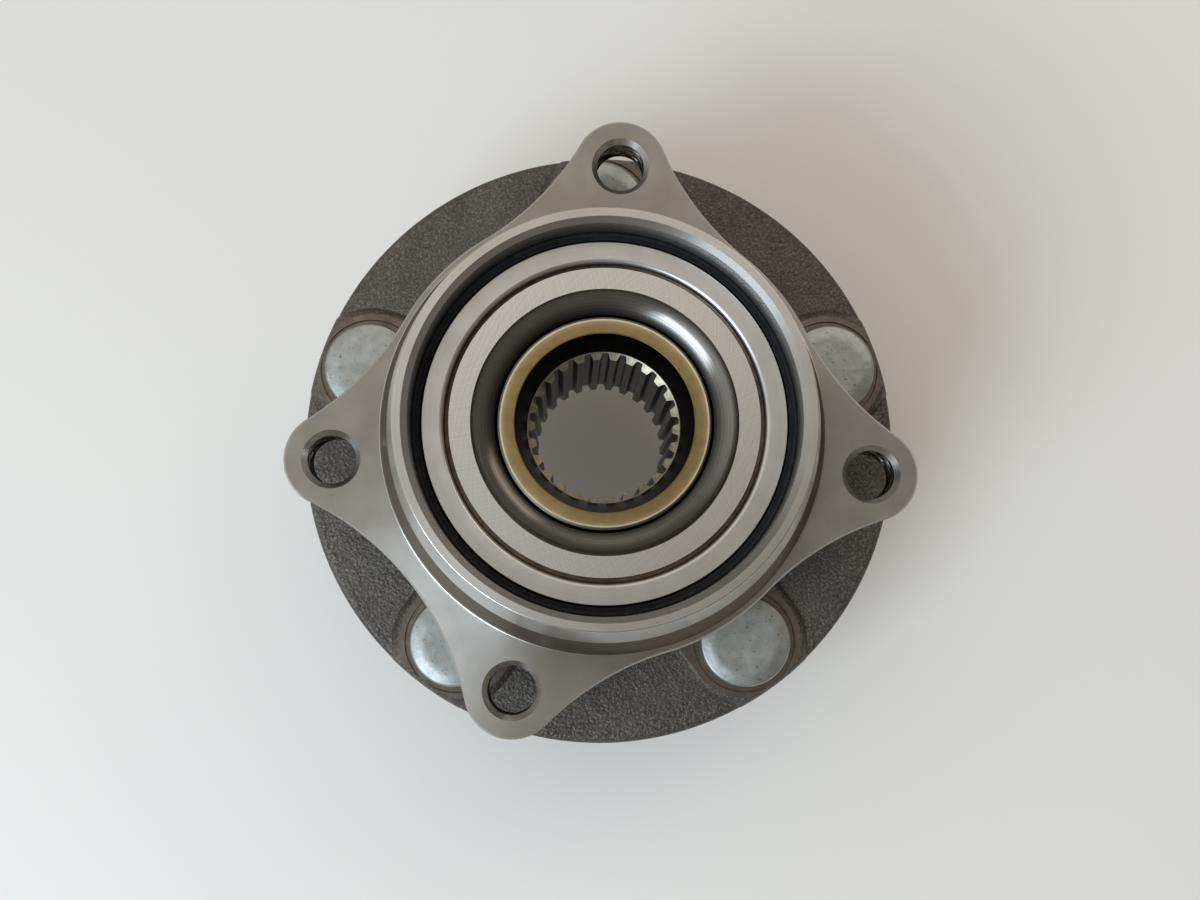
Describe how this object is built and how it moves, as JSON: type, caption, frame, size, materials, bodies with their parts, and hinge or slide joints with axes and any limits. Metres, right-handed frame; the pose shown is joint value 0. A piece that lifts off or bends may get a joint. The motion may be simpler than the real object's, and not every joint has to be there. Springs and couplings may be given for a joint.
{
  "type": "wheel hub bearing",
  "caption": "Driven wheel hub unit: splined flanged hub with pressed studs, turning on two ball rows inside an outer ring with threaded ears.",
  "frame": {"origin": "where the spin axis meets the wheel mounting face", "axes": "+Z along the spin axis, inboard towards the knuckle and drive shaft; +Y through wheel stud 1"},
  "size_m": [0.14, 0.14, 0.1007],
  "materials": {
    "forged_steel": "shot-blasted forging, machined at seats",
    "turned_steel": "fine turned satin",
    "race_steel": "ground",
    "ball_steel": "lapped",
    "zinc_plate": "zinc plated, dull",
    "stainless": "pressed satin stainless",
    "pressed_steel": "pressed sheet",
    "seal_rubber": "moulded nitrile",
    "cage_polymer": "glass-filled polyamide"
  },
  "bodies": {
    "fixed": {"outer_ring": "turned_steel", "inboard_seal_case": "pressed_steel", "inboard_seal_rubber": "seal_rubber", "outboard_seal_case": "pressed_steel", "outboard_seal_rubber": "seal_rubber"},
    "rotor": {"hub": "forged_steel", "inner_ring": "race_steel", "inboard_seal_slinger": "stainless", "wheel_stud_1": "zinc_plate", "wheel_stud_2": "zinc_plate", "wheel_stud_3": "zinc_plate", "wheel_stud_4": "zinc_plate", "wheel_stud_5": "zinc_plate"},
    "inboard_ball_set": {"inboard_cage": "cage_polymer", "inboard_ball_01": "ball_steel", "inboard_ball_02": "ball_steel", "inboard_ball_03": "ball_steel", "inboard_ball_04": "ball_steel", "inboard_ball_05": "ball_steel", "inboard_ball_06": "ball_steel", "inboard_ball_07": "ball_steel", "inboard_ball_08": "ball_steel", "inboard_ball_09": "ball_steel", "inboard_ball_10": "ball_steel", "inboard_ball_11": "ball_steel", "inboard_ball_12": "ball_steel", "inboard_ball_13": "ball_steel", "inboard_ball_14": "ball_steel"},
    "outboard_ball_set": {"outboard_cage": "cage_polymer", "outboard_ball_01": "ball_steel", "outboard_ball_02": "ball_steel", "outboard_ball_03": "ball_steel", "outboard_ball_04": "ball_steel", "outboard_ball_05": "ball_steel", "outboard_ball_06": "ball_steel", "outboard_ball_07": "ball_steel", "outboard_ball_08": "ball_steel", "outboard_ball_09": "ball_steel", "outboard_ball_10": "ball_steel", "outboard_ball_11": "ball_steel", "outboard_ball_12": "ball_steel", "outboard_ball_13": "ball_steel", "outboard_ball_14": "ball_steel"}
  },
  "joints": [
    {"name": "hub_spin", "type": "hinge", "parent": "fixed", "child": "rotor", "pos_m": [0, 0, 0.0324], "axis": [0, 0, 1], "continuous": true},
    {"name": "inboard_ball_set_spin", "type": "hinge", "parent": "fixed", "child": "inboard_ball_set", "pos_m": [0, 0, 0.0324], "axis": [0, 0, 1], "continuous": true},
    {"name": "outboard_ball_set_spin", "type": "hinge", "parent": "fixed", "child": "outboard_ball_set", "pos_m": [0, 0, 0.0324], "axis": [0, 0, 1], "continuous": true}
  ],
  "couplings": [
    {"joint": "inboard_ball_set_spin", "follows": "hub_spin", "ratio": 0.4295},
    {"joint": "outboard_ball_set_spin", "follows": "hub_spin", "ratio": 0.4295}
  ]
}
